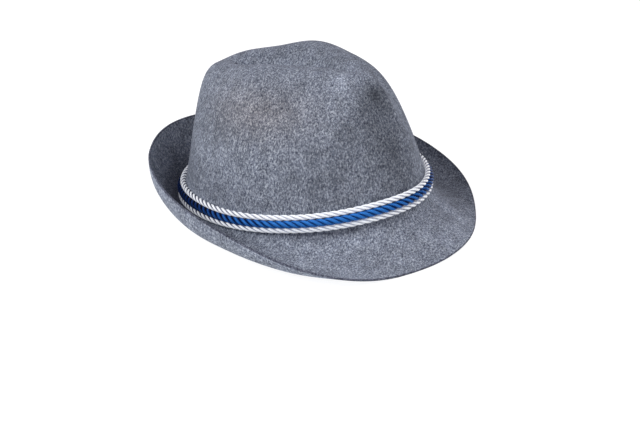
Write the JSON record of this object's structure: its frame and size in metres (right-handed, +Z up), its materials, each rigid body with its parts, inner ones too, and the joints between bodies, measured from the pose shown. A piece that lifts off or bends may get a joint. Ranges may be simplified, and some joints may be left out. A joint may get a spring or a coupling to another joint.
{
  "type": "tyrolean hat",
  "caption": "Tyrolean felt hat with a pinched, dented crown, turned-up brim dipping at the front, and white and blue twisted cords.",
  "frame": {"origin": "middle of the hat's outline on the surface that it rests on, below the crown", "axes": "+Z up from the resting surface, -Y out of the front of the hat where the brim dips, X from side to side"},
  "size_m": [0.2454, 0.2706, 0.126],
  "materials": {
    "felt": "pressed mottled grey-blue felt, matt",
    "white_cord": "twisted white rayon, soft sheen",
    "blue_cord": "twisted royal blue rayon, soft sheen"
  },
  "bodies": {
    "root": {"felt_cap": "felt", "lower_white_cord": "white_cord", "middle_blue_cord": "blue_cord", "upper_white_cord": "white_cord"}
  },
  "joints": []
}
